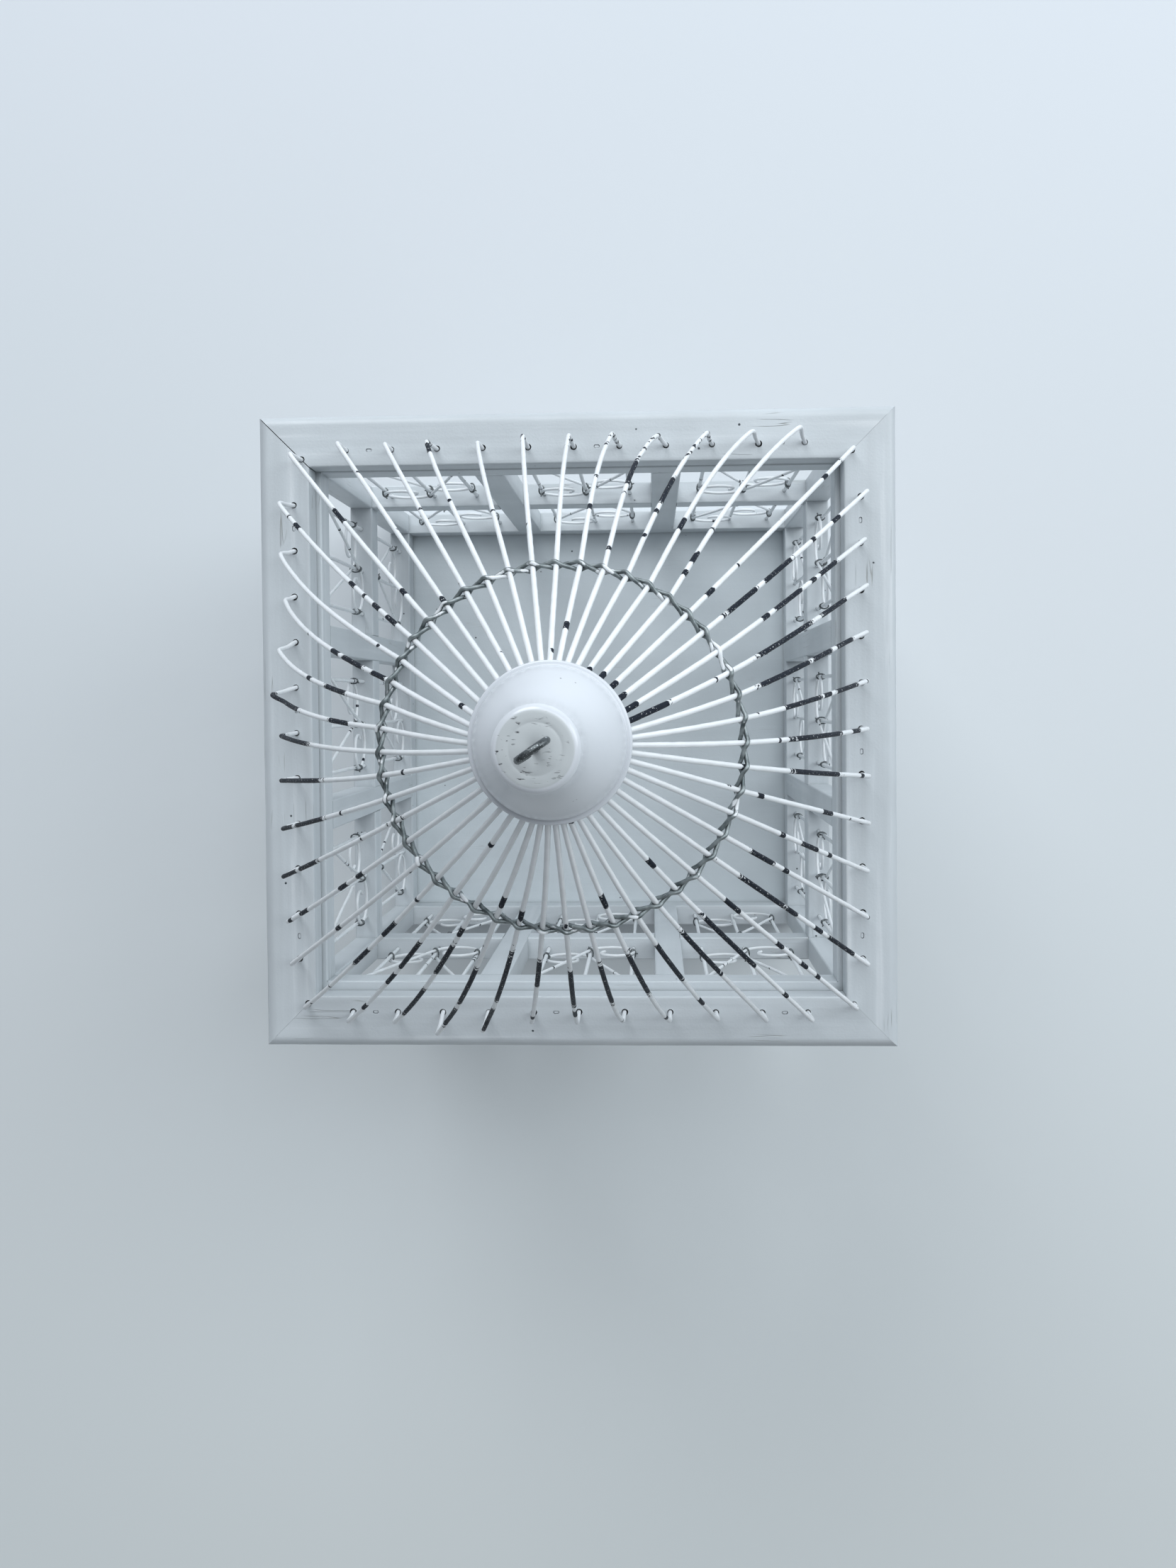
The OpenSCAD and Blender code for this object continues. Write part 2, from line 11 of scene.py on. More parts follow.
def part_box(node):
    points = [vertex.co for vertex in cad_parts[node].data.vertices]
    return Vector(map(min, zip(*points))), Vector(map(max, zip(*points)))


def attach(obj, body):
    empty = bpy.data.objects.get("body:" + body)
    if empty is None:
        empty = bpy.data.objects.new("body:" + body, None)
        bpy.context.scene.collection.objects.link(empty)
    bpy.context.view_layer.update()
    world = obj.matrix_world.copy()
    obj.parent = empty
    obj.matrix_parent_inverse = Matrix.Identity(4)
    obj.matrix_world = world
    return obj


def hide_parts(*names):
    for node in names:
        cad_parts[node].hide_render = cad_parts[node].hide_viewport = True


# noise_vector reads its pattern from a random place, which is another one each run unless seeded.
noise.seed_set(11)

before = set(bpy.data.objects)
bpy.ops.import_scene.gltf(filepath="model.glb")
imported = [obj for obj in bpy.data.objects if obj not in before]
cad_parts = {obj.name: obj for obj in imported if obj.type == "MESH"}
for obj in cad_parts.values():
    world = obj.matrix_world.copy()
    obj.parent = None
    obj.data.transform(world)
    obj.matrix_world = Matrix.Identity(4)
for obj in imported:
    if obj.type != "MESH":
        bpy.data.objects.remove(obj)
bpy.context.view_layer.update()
MM = 0.001
SIDES = ("front", "right", "back", "left")
UP = Vector((0, 0, 1))

# ---- Sizes and places, from the frame ----

FLOOR_LOW, FLOOR_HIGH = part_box("floor_panel")
BODY_AT = (FLOOR_LOW + FLOOR_HIGH) / 2
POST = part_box("corner_post_front_left")
WALL_T = POST[1].x - POST[0].x
BODY_W = FLOOR_HIGH.x - FLOOR_LOW.x
CAGE_W = BODY_W - 2 * WALL_T
WALL_MID = CAGE_W / 2 + WALL_T / 2

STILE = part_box("stile_front_a")
STILE_W = STILE[1].x - STILE[0].x
BAY_W = (CAGE_W - 2 * STILE_W) / 3
BAY_PITCH = BAY_W + STILE_W
ROD_GAP = BAY_W / 3
MIDDLE_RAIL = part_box("middle_rail_front")
LOWER_BAY_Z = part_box("bottom_rail_front")[1].z
UPPER_BAY_Z = MIDDLE_RAIL[1].z
BAY_H = MIDDLE_RAIL[0].z - LOWER_BAY_Z
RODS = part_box("upright_wires_front")
ROD_R = (RODS[1].y - RODS[0].y) / 2

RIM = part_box("rim_board_front")
RIM_OUT, RIM_IN = -RIM[0].y, -RIM[1].y
RIM_LOW, RIM_TOP = RIM[0].z, RIM[1].z
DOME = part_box("dome_wires_front")
WIRE_R = 1.0 * MM
HOLE_LINE = -DOME[0].y - WIRE_R
CORNER_HOLE = -DOME[0].x - WIRE_R
SIDE_GAPS = 12
WIRES = 4 * SIDE_GAPS
FIRST_WIRE = -135
HOOP_TWIST = 1

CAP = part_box("finial")
CAP_AT = (CAP[0] + CAP[1]) / 2
CAP_R = (CAP[1].x - CAP[0].x) / 2
CAP_Z, CAP_TOP = CAP[0].z, CAP[1].z
WIRE_END_R = CAP_R - 3 * MM
OUTER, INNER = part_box("hoop_outer_strand"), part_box("hoop_inner_strand")
STRAND_R = (OUTER[1].z - OUTER[0].z) / 2
HOOP_AT = (OUTER[0] + OUTER[1]) / 2
HOOP_Z = (OUTER[0].z + OUTER[1].z + INNER[0].z + INNER[1].z) / 4
HOOP_R = (OUTER[1].x - OUTER[0].x + INNER[1].x - INNER[0].x) / 4 - STRAND_R
HOOP_LEAN = radians(42)


# ---- Small helpers ----

def quarter_turns(k):
    """The turn that brings the front side to side k."""
    return Matrix.Rotation(radians(90 * k), 3, "Z")


def wire_angle(n, twist=0):
    """Direction of wire n as seen from the finial, in radians, with a twist in degrees."""
    return radians(FIRST_WIRE + n * 90 / SIDE_GAPS + twist)


def smooth(t):
    t = min(max(t, 0.0), 1.0)
    return t * t * (3 - 2 * t)


def wobble(p, scale, size):
    """A smooth random shift of a point: scale in metres, size in metres."""
    return noise.noise_vector(Vector(p) / scale) * size


def catmull(points, steps):
    """Points on a smooth curve through all the given ones."""
    pts = [2 * points[0] - points[1], *points, 2 * points[-1] - points[-2]]
    out = []
    for i in range(1, len(pts) - 2):
        a, b, c, d = pts[i - 1:i + 3]
        for s in range(steps):
            t = s / steps
            out.append(0.5 * (2 * b + (c - a) * t + (2 * a - 5 * b + 4 * c - d) * t ** 2
                              + (3 * b - a - 3 * c + d) * t ** 3))
    out.append(points[-1].copy())
    return out


def even(points, step):
    """The same path with points a step apart."""
    out, left = [points[0].copy()], step
    for a, b in zip(points, points[1:]):
        length = (b - a).length
        at = 0.0
        while length - at >= left:
            at += left
            out.append(a.lerp(b, at / length))
            left = step
        left -= length - at
    out.append(points[-1].copy())
    return out


class Mesh:
    """Collects tubes and other faces into one mesh with its per-point values."""

    def __init__(self):
        self.verts, self.faces, self.along, self.chip, self.key = [], [], [], [], []

    def ring_faces(self, a, b, sides):
        for j in range(sides):
            k = (j + 1) % sides
            self.faces.append((a + j, a + k, b + k, b + j))

    def tube(self, path, radius, sides=10, key=0.0, chips=(), closed=False, lumps=0.0):
        """A wire along a path. Chips are (middle, half length, angle, half angle) in mm and radians."""
        n = len(path)
        first = len(self.verts)
        side = None
        along = 0.0
        for i, p in enumerate(path):
            ahead = path[(i + 1) % n] if closed or i < n - 1 else p
            behind = path[i - 1] if closed or i else p
            way = (ahead - behind).normalized()
            if side is None:
                side = way.cross(UP if abs(way.z) < 0.9 else Vector((1, 0, 0))).normalized()
            side = (side - way * side.dot(way)).normalized()
            other = way.cross(side)
            if i:
                along += (p - path[i - 1]).length
            r = radius(i / max(1, n - 1)) if callable(radius) else radius
            for j in range(sides):
                a = 2 * pi * j / sides
                out = side * cos(a) + other * sin(a)
                q = p + out * r
                if lumps:
                    q += out * r * lumps * noise.noise(q / (3.5 * MM) + Vector((key, 0, 0)))
                self.verts.append(q)
                self.along.append(along / MM)
                self.key.append(key)
                self.chip.append(chip_depth(chips, along / MM, a))
        for i in range(n - 1):
            self.ring_faces(first + i * sides, first + (i + 1) * sides, sides)
        last = first + (n - 1) * sides
        if closed:
            self.ring_faces(last, first, sides)
        else:
            self.faces.append(tuple(range(first, first + sides))[::-1])
            self.faces.append(tuple(range(last, last + sides)))

    def piece(self, name, material, body, replaces=(), smooth_faces=True):
        mesh = bpy.data.meshes.new(name)
        mesh.from_pydata(self.verts, [], self.faces)
        for label, values in (("along", self.along), ("chip", self.chip), ("key", self.key)):
            if values:
                mesh.attributes.new(label, "FLOAT", "POINT").data.foreach_set("value", values)
        mesh.polygons.foreach_set("use_smooth", [smooth_faces] * len(mesh.polygons))
        mesh.update()
        return add_piece(name, mesh, material, body, replaces)


def add_piece(name, mesh, material, body, replaces=()):
    obj = bpy.data.objects.new(name, mesh)
    bpy.context.scene.collection.objects.link(obj)
    mesh.materials.append(material)
    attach(obj, body)
    if replaces:
        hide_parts(*replaces)
    return obj


def chip_depth(chips, along, angle):
    """How far inside a paint chip a point is, in mm: positive inside, negative outside."""
    best = -9.0
    for middle, half, at, half_angle in chips:
        turn = (angle - at + pi) % (2 * pi) - pi
        off = sqrt(((along - middle) / half) ** 2 + (turn / half_angle) ** 2)
        best = max(best, (1 - off) * min(half, 2.5))
    return best


# ---- Materials ----

class Shader:
    """A material's node tree, built by short calls. Inputs are sockets or plain values."""

    def __init__(self, name):
        self.material = bpy.data.materials.new(name)
        self.material.use_nodes = True
        self.tree = self.material.node_tree
        self.tree.nodes.clear()
        self.bsdf = self.tree.nodes.new("ShaderNodeBsdfPrincipled")
        out = self.tree.nodes.new("ShaderNodeOutputMaterial")
        self.tree.links.new(self.bsdf.outputs[0], out.inputs["Surface"])

    def add(self, kind, out=0, inputs=(), **props):
        n = self.tree.nodes.new("ShaderNode" + kind)
        for key, value in props.items():
            setattr(n, key, value)
        for key, value in dict(inputs).items():
            self.set(n.inputs[key], value)
        return n.outputs[out]

    def set(self, socket, value):
        if isinstance(value, bpy.types.NodeSocket):
            self.tree.links.new(value, socket)
        else:
            socket.default_value = value

    def principled(self, **inputs):
        for key, value in inputs.items():
            self.set(self.bsdf.inputs[key.replace("_", " ").title().replace("Ior", "IOR")], value)

    def where(self, scale=(1, 1, 1)):
        """Place on the piece in metres, times scale."""
        here = self.add("TexCoord", "Object")
        return self.add("Mapping", inputs={"Vector": here, "Scale": scale})

    def value(self, name):
        return self.add("Attribute", "Fac", attribute_name=name)

    def combine(self, x, y, z):
        return self.add("CombineXYZ", inputs={"X": x, "Y": y, "Z": z})

    def noise(self, vector, scale=1.0, detail=2.0, rough=0.5):
        return self.add("TexNoise", "Fac", inputs={"Vector": vector, "Scale": scale, "Detail": detail,
                                                   "Roughness": rough})

    def math(self, op, a, b=0.0):
        return self.add("Math", inputs={0: a, 1: b}, operation=op)

    def ramp(self, value, low, high, to_low=0.0, to_high=1.0):
        """Value mapped from low..high onto to_low..to_high, clamped."""
        return self.add("MapRange", inputs={"Value": value, "From Min": low, "From Max": high,
                                            "To Min": to_low, "To Max": to_high})

    def mix(self, fac, a, b):
        a, b = ((*c, 1) if isinstance(c, tuple) and len(c) == 3 else c for c in (a, b))
        return self.add("MixRGB", inputs={"Fac": fac, "Color1": a, "Color2": b})

    def bump(self, height, distance, normal=None):
        inputs = {"Height": height, "Distance": distance}
        if normal is not None:
            inputs["Normal"] = normal
        return self.add("Bump", inputs=inputs)


WHITE = (0.82, 0.845, 0.865)
SOILED_WHITE = (0.60, 0.64, 0.665)
GRIME = (0.33, 0.34, 0.33)
DARK = (0.035, 0.045, 0.055)
ALONG = {"x": (6, 160, 160), "y": (160, 6, 160), "z": (160, 160, 6)}


def painted_wood(name, grain, cracks=0.5, tone=SOILED_WHITE, streak=0.22):
    """Brushed white paint over softwood: streaks and hairline cracks run along the grain."""
    s = Shader(name)
    streaks = s.noise(s.where(ALONG[grain]), detail=4)
    cloud = s.noise(s.where(), scale=22, detail=3)
    fine = s.noise(s.where(), scale=900, detail=2)
    colour = s.mix(s.ramp(cloud, 0.35, 0.75, 0, 0.35), tone, tuple(c * 0.74 for c in tone))
    colour = s.mix(s.ramp(streaks, 0.45, 0.75, 0, streak), colour, tuple(c * 0.72 for c in tone))
    colour = s.mix(s.ramp(streaks, 0.42, 0.30, 0, streak), colour, WHITE)
    # Cracks are level lines of stretched noise, kept only in a few patches.
    thin = s.where(tuple(v * 0.35 for v in ALONG[grain]))
    line = s.math("ABSOLUTE", s.math("SUBTRACT", s.noise(thin, scale=2.2, detail=3), 0.5))
    patch = s.ramp(s.noise(s.where(), scale=31, detail=1), 0.60, 0.64)
    crack = s.math("MULTIPLY", s.ramp(line, 0.0, 0.006, 1, 0), s.math("MULTIPLY", patch, cracks))
    colour = s.mix(crack, colour, GRIME)
    # Small dark pin marks.
    cells = s.add("TexVoronoi", "Distance", inputs={"Vector": s.where(), "Scale": 120.0})
    rare = s.ramp(s.noise(s.where(), scale=60, detail=0), 0.66, 0.68)
    dots = s.math("MULTIPLY", s.ramp(cells, 0.05, 0.08, 1, 0), rare)
    colour = s.mix(dots, colour, DARK)
    # Painted shade: the colour darkens by ambient occlusion in the corners and where pieces meet.
    corner = s.add("AmbientOcclusion", "AO", samples=6, inputs={"Distance": 4 * MM})
    colour = s.mix(s.ramp(corner, 0.25, 0.72, 0.62, 0), colour, (0.24, 0.27, 0.28))
    height = s.math("ADD", s.math("MULTIPLY", streaks, 0.7), s.math("MULTIPLY", fine, 0.25))
    height = s.math("SUBTRACT", height, s.math("MULTIPLY", s.math("MAXIMUM", crack, dots), 0.8))
    s.principled(base_color=colour, roughness=s.ramp(cloud, 0.3, 0.7, 0.36, 0.5),
                 normal=s.bump(height, 0.25 * MM))
    return s.material


def painted_wire(name, tone=WHITE):
    """Thick white paint on wire, flaked off in sharp-edged chips down to blue-black steel."""
    s = Shader(name)
    along, key, chip = s.value("along"), s.value("key"), s.value("chip")
    here = s.where()
    strip = s.combine(along, s.math("MULTIPLY", key, 7.31), 0.0)
    ragged = s.math("ADD", s.noise(here, scale=900, detail=3, rough=0.6), s.noise(strip, scale=0.6, detail=1))
    edge = s.math("ADD", chip, s.math("MULTIPLY", s.math("SUBTRACT", ragged, 1.0), 1.8))
    bare = s.ramp(edge, -0.02, 0.02)
    islands = s.ramp(s.noise(here, scale=1500, detail=2), 0.66, 0.70)
    bare = s.math("MULTIPLY", bare, s.math("SUBTRACT", 1.0, islands))
    cloud = s.noise(here, scale=160, detail=3)
    paint = s.mix(s.ramp(cloud, 0.4, 0.8, 0, 0.35), tone, (0.60, 0.62, 0.61))
    rim = s.math("SUBTRACT", s.ramp(edge, -0.30, 0.0), bare)
    paint = s.mix(s.math("MULTIPLY", rim, 0.35), paint, (0.50, 0.52, 0.52))
    # Painted shade: the paint darkens by ambient occlusion close to other parts, at the wire feet and round
    # the hoop.
    corner = s.add("AmbientOcclusion", "AO", samples=6, inputs={"Distance": 2.5 * MM})
    paint = s.mix(s.ramp(corner, 0.15, 0.6, 0.75, 0), paint, (0.16, 0.17, 0.18))
    steel = s.mix(s.noise(here, scale=500, detail=3), (0.004, 0.006, 0.012), (0.020, 0.026, 0.038))
    height = s.math("ADD", s.math("MULTIPLY", cloud, 0.5), s.math("MULTIPLY", bare, -1.0))
    s.principled(base_color=s.mix(bare, paint, steel), roughness=s.ramp(bare, 0, 1, 0.38, 0.55),
                 specular_ior_level=s.ramp(bare, 0, 1, 0.5, 0.12), normal=s.bump(height, 0.12 * MM))
    return s.material


def galvanised(name):
    """Dull zinc on the hoop's strands, with white paint left in patches; more of it on their upper sides,
    where it is also a painted highlight.
    """
    s = Shader(name)
    here = s.where()
    blotch = s.noise(here, scale=260, detail=4)
    zinc = s.mix(s.ramp(blotch, 0.3, 0.7), (0.09, 0.11, 0.115), (0.38, 0.42, 0.425))
    # White paint patches at random, made more likely on upward faces, so the strands' tops also carry a
    # painted highlight.
    up = s.add("SeparateXYZ", "Z", inputs={"Vector": s.add("NewGeometry", "Normal")})
    left = s.math("ADD", s.math("MULTIPLY", up, 0.10), s.noise(here, scale=110, detail=4))
    painted = s.ramp(left, 0.66, 0.70)
    colour = s.mix(painted, zinc, WHITE)
    # Painted shade: the strands darken by ambient occlusion where they touch the dome wires and each other.
    corner = s.add("AmbientOcclusion", "AO", samples=6, inputs={"Distance": 2 * MM})
    colour = s.mix(s.ramp(corner, 0.2, 0.7, 0.7, 0), colour, (0.03, 0.04, 0.045))
    s.principled(base_color=colour, roughness=s.ramp(blotch, 0.3, 0.7, 0.36, 0.55),
                 metallic=s.ramp(painted, 0, 1, 0.75, 0), normal=s.bump(blotch, 0.15 * MM))
    return s.material


def dark_steel(name, light=1.0):
    s = Shader(name)
    here = s.where()
    worn = s.noise(here, scale=420, detail=4)
    scratch = s.noise(s.where((1, 1, 0.08)), scale=2500, detail=1)
    shade = s.mix(worn, (0.05 * light, 0.06 * light, 0.065 * light),
                  (0.30 * light, 0.33 * light, 0.34 * light))
    colour = s.mix(s.ramp(scratch, 0.62, 0.70, 0, 0.7), shade, (0.62, 0.66, 0.68))
    s.principled(base_color=colour, metallic=0.85, roughness=s.ramp(worn, 0.3, 0.7, 0.26, 0.45),
                 normal=s.bump(scratch, 0.06 * MM))
    return s.material


def aged_brass(name):
    s = Shader(name)
    here = s.where()
    tarnish = s.noise(here, scale=180, detail=4)
    brushed = s.noise(s.where((0.06, 1, 1)), scale=3000, detail=1)
    colour = s.mix(s.ramp(tarnish, 0.35, 0.7), (0.62, 0.46, 0.20), (0.26, 0.19, 0.09))
    s.principled(base_color=colour, metallic=0.95, roughness=s.ramp(tarnish, 0.3, 0.7, 0.28, 0.5),
                 normal=s.bump(brushed, 0.05 * MM))
    return s.material


def finial_paint(name):
    """Gloss paint over turned wood; the flat top shows end grain as short dark dashes."""
    s = Shader(name)
    here = s.where()
    cloud = s.noise(here, scale=45, detail=3)
    centre = s.add("VectorMath", operation="SUBTRACT",
                   inputs={0: here, 1: (CAP_AT.x, CAP_AT.y, 0)})
    parts = s.add("SeparateXYZ", "X", inputs={"Vector": centre})
    turned = s.noise(s.combine(0.0, 0.0, s.add("SeparateXYZ", "Z", inputs={"Vector": here})),
                     scale=1400, detail=1)
    flat = s.ramp(s.add("SeparateXYZ", "Z", inputs={"Vector": here}), CAP_TOP - 0.35 * MM,
                  CAP_TOP - 0.15 * MM)
    tilt = s.add("Mapping", inputs={"Vector": centre, "Rotation": (0, 0, radians(32)),
                                    "Scale": (330, 1100, 0)})
    dash = s.ramp(s.noise(tilt, detail=2), 0.60, 0.64)
    zone = s.ramp(s.noise(here, scale=210, detail=1), 0.46, 0.56)
    left = s.ramp(parts, -1 * MM, -4 * MM, 0.35, 1)
    crack = s.math("MULTIPLY", s.math("MULTIPLY", dash, zone), s.math("MULTIPLY", flat, left))
    pins = s.add("TexVoronoi", "Distance", inputs={"Vector": here, "Scale": 260.0})
    rare = s.ramp(s.noise(here, scale=85, detail=0), 0.70, 0.72)
    dots = s.math("MULTIPLY", s.ramp(pins, 0.06, 0.10, 1, 0), rare)
    paint = s.mix(s.ramp(cloud, 0.4, 0.8, 0, 0.12), (0.66, 0.69, 0.73), (0.48, 0.49, 0.49))
    paint = s.mix(flat, paint, (0.50, 0.53, 0.54))
    paint = s.mix(s.math("MAXIMUM", crack, s.math("MULTIPLY", dots, 0.7)), paint, (0.05, 0.055, 0.06))
    # Painted shade: the paint darkens by ambient occlusion in its hollows and where the wires and the screw
    # eye meet it.
    corner = s.add("AmbientOcclusion", "AO", samples=6, inputs={"Distance": 2 * MM})
    paint = s.mix(s.ramp(corner, 0.2, 0.7, 0.5, 0), paint, (0.28, 0.28, 0.27))
    height = s.math("ADD", s.math("MULTIPLY", turned, 0.12), s.math("MULTIPLY", crack, -1.0))
    s.principled(base_color=paint, roughness=s.ramp(flat, 0, 1, 0.24, 0.5),
                 coat_weight=0.25, coat_roughness=0.12, normal=s.bump(height, 0.2 * MM))
    return s.material


WOOD = {g: painted_wood("painted_wood_" + g, g) for g in "xyz"}
RIM_WOOD = {g: painted_wood("rim_paint_" + g, g, cracks=0.9, tone=(0.58, 0.62, 0.645), streak=0.4)
            for g in "xy"}
# Painted light: the floor panel uses a lighter copy of the wall paint, lightened to brighten the cage's
# shaded inside.
PANEL_WOOD = painted_wood("floor_panel_paint", "x", cracks=0.2, tone=(0.66, 0.71, 0.735), streak=0.06)
WIRE_PAINT = painted_wire("chipped_wire_paint")
GRILLE_PAINT = painted_wire("grille_wire_paint", (0.82, 0.85, 0.87))
ZINC = galvanised("galvanised_strand")
TIE_STEEL = dark_steel("binding_wire", 0.8)
EYE_STEEL = dark_steel("screw_eye_steel", 0.6)
BRASS = aged_brass("aged_brass")
FINIAL = finial_paint("finial_gloss_paint")


def finish_node(node, material):
    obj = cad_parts[node]
    obj.data.materials.clear()
    obj.data.materials.append(material)


# ---- Camera ----

def make_camera():
    """Nearly straight above, a little right of the middle, through a moderate wide angle."""
    data = bpy.data.cameras.new("camera")
    data.lens = 28.45
    data.shift_x, data.shift_y = -0.0068, -0.0381
    cam = bpy.data.objects.new("camera", data)
    cam.location = Vector((35.2, 14.6, 832.4)) * MM
    cam.rotation_euler = Euler((radians(-1.17), radians(2.42), radians(-0.51)))
    bpy.context.scene.collection.objects.link(cam)
    bpy.context.scene.camera = cam


make_camera()


# ---- Wall frames: the CAD sticks, each with its grain the right way ----

def finish_frames():
    finish_node("floor_panel", PANEL_WOOD)
    for corner in ("front_left", "front_right", "back_right", "back_left"):
        finish_node("corner_post_" + corner, WOOD["z"])
    for side in SIDES:
        along = "x" if side in ("front", "back") else "y"
        for rail in ("bottom", "middle", "top"):
            finish_node(f"{rail}_rail_{side}", WOOD[along])
        for end in "ab":
            finish_node(f"stile_{side}_{end}", WOOD["z"])


finish_frames()


# ---- Wall wires ----

SCROLL_R = 12.5 * MM
CURL_R, TIP_R = 0.8 * SCROLL_R, 0.48 * SCROLL_R
SCROLL_RISE = 19 * MM
SCROLL_X = ROD_GAP - SCROLL_R
BRACE_R = 0.8 * MM
BRACE_OFF = ROD_R + BRACE_R + 0.15 * MM
BRACE_EMBED = 3 * MM
BRACE_TOP = {True: BAY_W / 2 - 5.2 * MM, False: 9.5 * MM}


def on_side(k, p):
    """A point drawn for the front wall, turned to side k."""
    q = quarter_turns(k) @ Vector((p.x, p.y - WALL_MID, p.z))
    return q + Vector((BODY_AT.x, BODY_AT.y, 0))


def arc(centre, radius, start, turn, step=7.0):
    n = max(2, round(abs(turn) / step))
    return [Vector((centre[0] + radius * cos(radians(start + turn * i / n)), 0,
                    centre[1] + radius * sin(radians(start + turn * i / n)))) for i in range(n + 1)]


def brace_path(upper):
    """A straight run down from the rail, then a shrinking curl, drawn in the XZ plane."""
    top = Vector((BRACE_TOP[upper], 0, BAY_H + BRACE_EMBED))
    centre = Vector((-SCROLL_X, 0, SCROLL_RISE))
    d = top - centre
    way = -1 if upper else 1
    start = degrees(atan2(d.z, d.x) + way * acos(SCROLL_R / d.length))
    end = -180 if upper else 300
    turn_in = radians(end)
    c2 = centre + (SCROLL_R - CURL_R) * Vector((cos(turn_in), 0, sin(turn_in)))
    last = radians(end + way * 120)
    c3 = c2 + (CURL_R - TIP_R) * Vector((cos(last), 0, sin(last)))
    curl = arc((centre.x, centre.z), SCROLL_R, start, end - start)
    curl += arc((c2.x, c2.z), CURL_R, end, way * 120)[1:]
    curl += arc((c3.x, c3.z), TIP_R, end + way * 120, way * 110)[1:]
    return [top.lerp(curl[0], i / 12) for i in range(12)] + curl


def cross_height(upper):
    a, b = brace_path(upper)[0], brace_path(upper)[11]
    return a.z - a.x * (b.z - a.z) / (b.x - a.x)


def random_chips(rng, length, count, longest, wrap=0.5):
    """Chips at random places along a wire; a share of them go all round."""
    chips = []
    for _ in range(count):
        half = rng.uniform(0.5, longest)
        width = 9.0 if rng.random() < wrap else rng.uniform(0.7, 1.5)
        chips.append((rng.uniform(2, length - 2), half, rng.uniform(0, 2 * pi), width))
    return chips


def make_rods(k, rng):
    m = Mesh()
    low, high = RODS[0].z, RODS[1].z
    for b in (-1, 0, 1):
        for i in (-1, 0, 1):
            x = b * BAY_PITCH + i * ROD_GAP
            sway = [Vector((rng.uniform(-0.35, 0.35), rng.uniform(-0.2, 0.2), 0)) * MM for _ in range(3)]
            heights = (low, LOWER_BAY_Z, LOWER_BAY_Z + BAY_H / 2, (LOWER_BAY_Z + BAY_H + UPPER_BAY_Z) / 2,
                       UPPER_BAY_Z + BAY_H / 2, high - 8 * MM, high)
            ends = [Vector((x, 0, z)) for z in heights]
            ends[2] += sway[0]
            ends[4] += sway[1]
            path = [on_side(k, p) for p in even(catmull(ends, 8), 2 * MM)]
            m.tube(path, ROD_R, 10, rng.uniform(0, 50), random_chips(rng, 215, rng.randint(1, 4), 1.3),
                   lumps=0.06)
    m.piece(f"rods_{SIDES[k]}", GRILLE_PAINT, "cage", [f"upright_wires_{SIDES[k]}"])


def make_scrolls(k, rng):
    m = Mesh()
    for b in (-1, 0, 1):
        for upper in (True, False):
            base = UPPER_BAY_Z if upper else LOWER_BAY_Z
            for i in (-1, 1):
                seed = Vector((k * 9 + b * 3.3, i * 2.1, 5.0 if upper else 1.0))
                path = []
                for p in brace_path(upper):
                    free = smooth((BAY_H - p.z) / (12 * MM)) * smooth(abs(p.x) / (8 * MM))
                    bend = noise.noise_vector(p / (30 * MM) + seed) * 0.8 * MM * free
                    q = Vector((i * (p.x + bend.x) + b * BAY_PITCH, -i * BRACE_OFF, base + p.z + bend.z))
                    path.append(on_side(k, q))
                m.tube(even(catmull(path, 3), 1.0 * MM), BRACE_R, 8, rng.uniform(0, 50),
                       random_chips(rng, 130, rng.randint(1, 4), 1.2), lumps=0.07)
    m.piece(f"scrolls_{SIDES[k]}", GRILLE_PAINT, "cage", [f"scroll_wires_{SIDES[k]}"])


def tie_path(x, y, z, rx, ry, rng):
    """Turns of thin wire round a bundle, closed by a short twisted tail."""
    turns = rng.choice((2.25, 2.75, 3.25))
    start = rng.uniform(0, 2 * pi)
    pitch = 0.62 * MM
    pts = []
    n = round(turns * 16)
    for i in range(n + 1):
        a = start + 2 * pi * turns * i / n
        h = (i / n - 0.5) * turns * pitch + 0.25 * MM * sin(a * 0.5)
        pts.append(Vector((x + rx * cos(a), y + ry * sin(a), z + h)))
    out = Vector((cos(a), sin(a), 0))
    pts.append(pts[-1] + out * 0.5 * MM + Vector((0, 0, 0.2 * MM)))
    pts.append(pts[-1] + out * 0.7 * MM + Vector((0, 0, rng.uniform(-0.6, 0.9) * MM)))
    return pts


def make_ties(rng):
    tie_r = 0.38 * MM
    m = Mesh()
    for k in range(4):
        for b in (-1, 0, 1):
            for upper in (True, False):
                z = UPPER_BAY_Z if upper else LOWER_BAY_Z
                cross = (b * BAY_PITCH, 0, z + cross_height(upper), ROD_R + 0.75 * MM,
                         BRACE_OFF + BRACE_R + 0.35 * MM)
                sides = [(b * BAY_PITCH - i * ROD_GAP, -i * BRACE_OFF / 2, z + SCROLL_RISE,
                          ROD_R + 0.45 * MM, BRACE_OFF / 2 + ROD_R + 0.4 * MM) for i in (-1, 1)]
                for spot in (cross, *sides):
                    path = [on_side(k, p) for p in tie_path(*spot, rng)]
                    m.tube(catmull(path, 2), tie_r, 6, rng.uniform(0, 50))
    m.piece("tie_wires", TIE_STEEL, "cage", ["binding_wires"])


# ---- Rim ----

RIM_ROUND = 5 * MM
WAVY_ABOVE = 6 * MM
HOLE_DEPTH = 8 * MM
CUT_ABOVE = 3 * MM
# A nail's pocket is an oblong: two half circles, their middles this far each side of the nail's.
POCKET_R, POCKET_HALF, POCKET_DEPTH = 0.75 * MM, 0.65 * MM, 1.2 * MM
# How far each corner's mitre has opened, in mm.
MITRE = {"front_left": 0.10, "front_right": 0.08, "back_right": 0.10, "back_left": 0.55}
CORNERS = ("front_left", "front_right", "back_right", "back_left")


